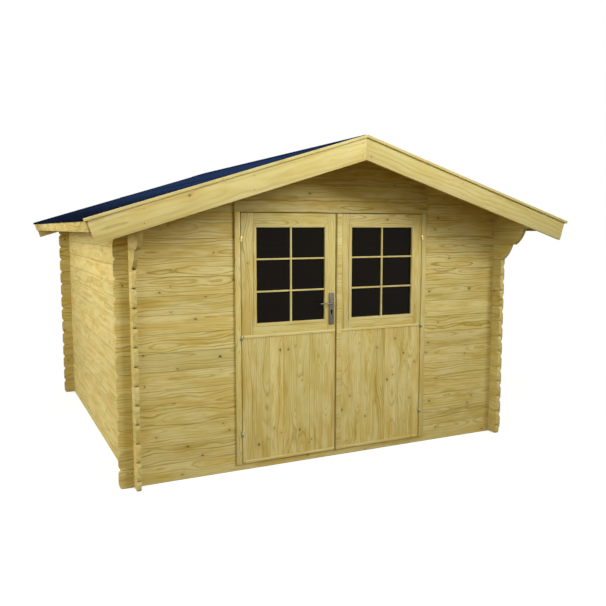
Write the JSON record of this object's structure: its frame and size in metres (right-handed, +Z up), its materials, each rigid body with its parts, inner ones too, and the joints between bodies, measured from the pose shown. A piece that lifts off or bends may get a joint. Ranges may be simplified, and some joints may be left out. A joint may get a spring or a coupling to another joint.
{
  "type": "wooden garden chalet",
  "caption": "Small log-walled garden chalet with interlocking corners, a felt-covered gable roof with a deep front overhang on bracket logs, and a glazed double door that opens.",
  "frame": {"origin": "on the ground under the middle of the roof's plan", "axes": "+X to the right along the front, +Y from front to back, +Z up; the double door faces -Y"},
  "size_m": [3.626, 3.573, 2.3052],
  "materials": {
    "log_pine": "planed pressure-treated pine, satin",
    "board_pine": "planed boards, satin",
    "trim_pine": "planed pale pine, satin",
    "door_pine": "planed pine joinery, satin",
    "roofing_felt": "matte mineral felt",
    "window_glass": "clear dark-looking pane",
    "zinc_steel": "zinc plated",
    "satin_steel": "satin"
  },
  "bodies": {
    "cabin": {"front_sill_log": "log_pine", "front_wall_left": "log_pine", "front_wall_right": "log_pine", "front_gable": "log_pine", "back_wall": "log_pine", "back_gable": "log_pine", "left_wall": "log_pine", "right_wall": "log_pine", "left_bracket_logs": "log_pine", "right_bracket_logs": "log_pine", "left_wall_plate": "log_pine", "right_wall_plate": "log_pine", "ridge_purlin": "log_pine", "side_purlins": "log_pine", "left_roof_boards": "board_pine", "right_roof_boards": "board_pine", "left_roof_felt": "roofing_felt", "right_roof_felt": "roofing_felt", "ridge_felt": "roofing_felt", "left_eave_board": "trim_pine", "right_eave_board": "trim_pine", "front_bargeboards": "trim_pine", "back_bargeboards": "trim_pine", "front_cap_strips": "trim_pine", "back_cap_strips": "trim_pine", "left_jamb": "door_pine", "right_jamb": "door_pine", "door_header": "door_pine", "floor_joists": "board_pine", "floor_boards": "board_pine", "left_hinge_pins": "zinc_steel", "right_hinge_pins": "zinc_steel"},
    "left_door": {"left_door_frame": "door_pine", "left_door_boarding": "door_pine", "left_glazing_beads": "door_pine", "left_door_glass": "window_glass", "left_hinge_knuckles": "zinc_steel", "lock_plates": "satin_steel"},
    "lever": {"lever_handle": "satin_steel"},
    "right_door": {"right_door_frame": "door_pine", "right_door_boarding": "door_pine", "right_glazing_beads": "door_pine", "right_door_glass": "window_glass", "right_hinge_knuckles": "zinc_steel", "meeting_strip": "door_pine"}
  },
  "joints": [
    {"name": "left_door_swing", "type": "hinge", "parent": "cabin", "child": "left_door", "pos_m": [-0.739, -1.3763, 0], "axis": [0, 0, -1], "range_deg": [0, 120]},
    {"name": "right_door_swing", "type": "hinge", "parent": "cabin", "child": "right_door", "pos_m": [0.739, -1.3763, 0], "axis": [0, 0, 1], "range_deg": [0, 120]},
    {"name": "lever_turn", "type": "hinge", "parent": "left_door", "child": "lever", "pos_m": [-0.045, -1.3675, 1.155], "axis": [0, -1, 0], "range_deg": [0, 40], "stiffness_Nm_per_rad": 0.6}
  ]
}
